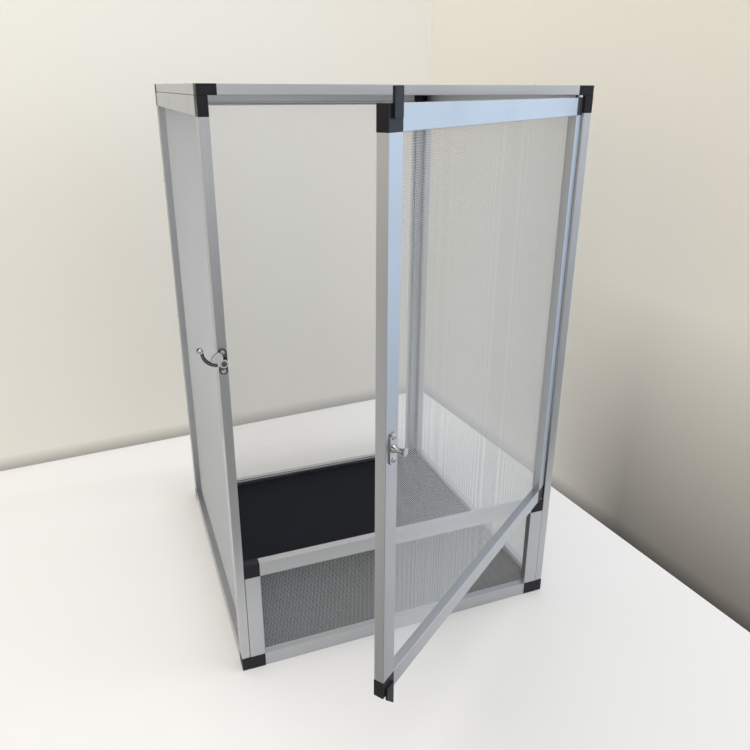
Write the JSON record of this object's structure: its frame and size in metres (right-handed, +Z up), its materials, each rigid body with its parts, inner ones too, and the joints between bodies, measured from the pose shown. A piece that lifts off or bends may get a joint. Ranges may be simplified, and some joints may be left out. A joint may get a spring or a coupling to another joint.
{
  "type": "mesh reptile cage",
  "caption": "Tall screen cage for reptiles: framed mesh panels with plugged corners, a floor board, a pin-hung front door over a low fixed panel, and a swing hook with a stud keeper.",
  "frame": {"origin": "centre of the footprint of the closed cage, on the surface it stands on", "axes": "+Z up, +X to the right as seen from the front, +Y from the front to the back"},
  "size_m": [0.4731, 0.7047, 0.7109],
  "materials": {
    "frame_bar": "satin anodised, drawn along the bar",
    "connector": "satin moulded",
    "mesh": "woven bright wire",
    "spline": "matt",
    "floor_board": "matt foamed board",
    "latch_chrome": "polished plate",
    "washer": "natural nylon",
    "screw_steel": "zinc plated"
  },
  "bodies": {
    "cage": {"top_front_rail": "frame_bar", "top_back_rail": "frame_bar", "top_left_rail": "frame_bar", "top_right_rail": "frame_bar", "back_left_stile": "frame_bar", "back_right_stile": "frame_bar", "back_top_rail": "frame_bar", "back_bottom_rail": "frame_bar", "left_front_stile": "frame_bar", "left_back_stile": "frame_bar", "left_top_rail": "frame_bar", "left_bottom_rail": "frame_bar", "right_front_stile": "frame_bar", "right_back_stile": "frame_bar", "right_top_rail": "frame_bar", "right_bottom_rail": "frame_bar", "sill_left_stile": "frame_bar", "sill_right_stile": "frame_bar", "sill_top_rail": "frame_bar", "sill_bottom_rail": "frame_bar", "top_corners": "connector", "back_corners": "connector", "left_corners": "connector", "right_corners": "connector", "sill_corners": "connector", "top_mesh": "mesh", "back_mesh": "mesh", "left_mesh": "mesh", "right_mesh": "mesh", "sill_mesh": "mesh", "top_spline": "spline", "back_spline": "spline", "left_spline": "spline", "right_spline": "spline", "sill_spline": "spline", "floor_board": "floor_board", "latch_plate": "latch_chrome", "latch_rivet": "latch_chrome", "latch_screws": "screw_steel", "side_screws": "screw_steel", "top_screws": "screw_steel"},
    "door": {"door_hinge_stile": "frame_bar", "door_free_stile": "frame_bar", "door_top_rail": "frame_bar", "door_bottom_rail": "frame_bar", "door_hinge_corners": "connector", "door_free_corners": "connector", "door_mesh": "mesh", "door_spline": "spline", "hinge_pins": "screw_steel", "hinge_washers": "washer", "keeper_plate": "latch_chrome", "keeper_stud": "latch_chrome", "keeper_screws": "screw_steel"},
    "hook": {"latch_hook": "latch_chrome"}
  },
  "joints": [
    {"name": "door_swing", "type": "hinge", "parent": "cage", "child": "door", "pos_m": [0.209, -0.2218, 0.43], "axis": [0, 0, 1], "range_deg": [-36, 74]},
    {"name": "hook_turn", "type": "hinge", "parent": "cage", "child": "hook", "pos_m": [-0.21975, -0.2314, 0.43], "axis": [0, 1, 0], "range_deg": [-100, 154.7]}
  ]
}
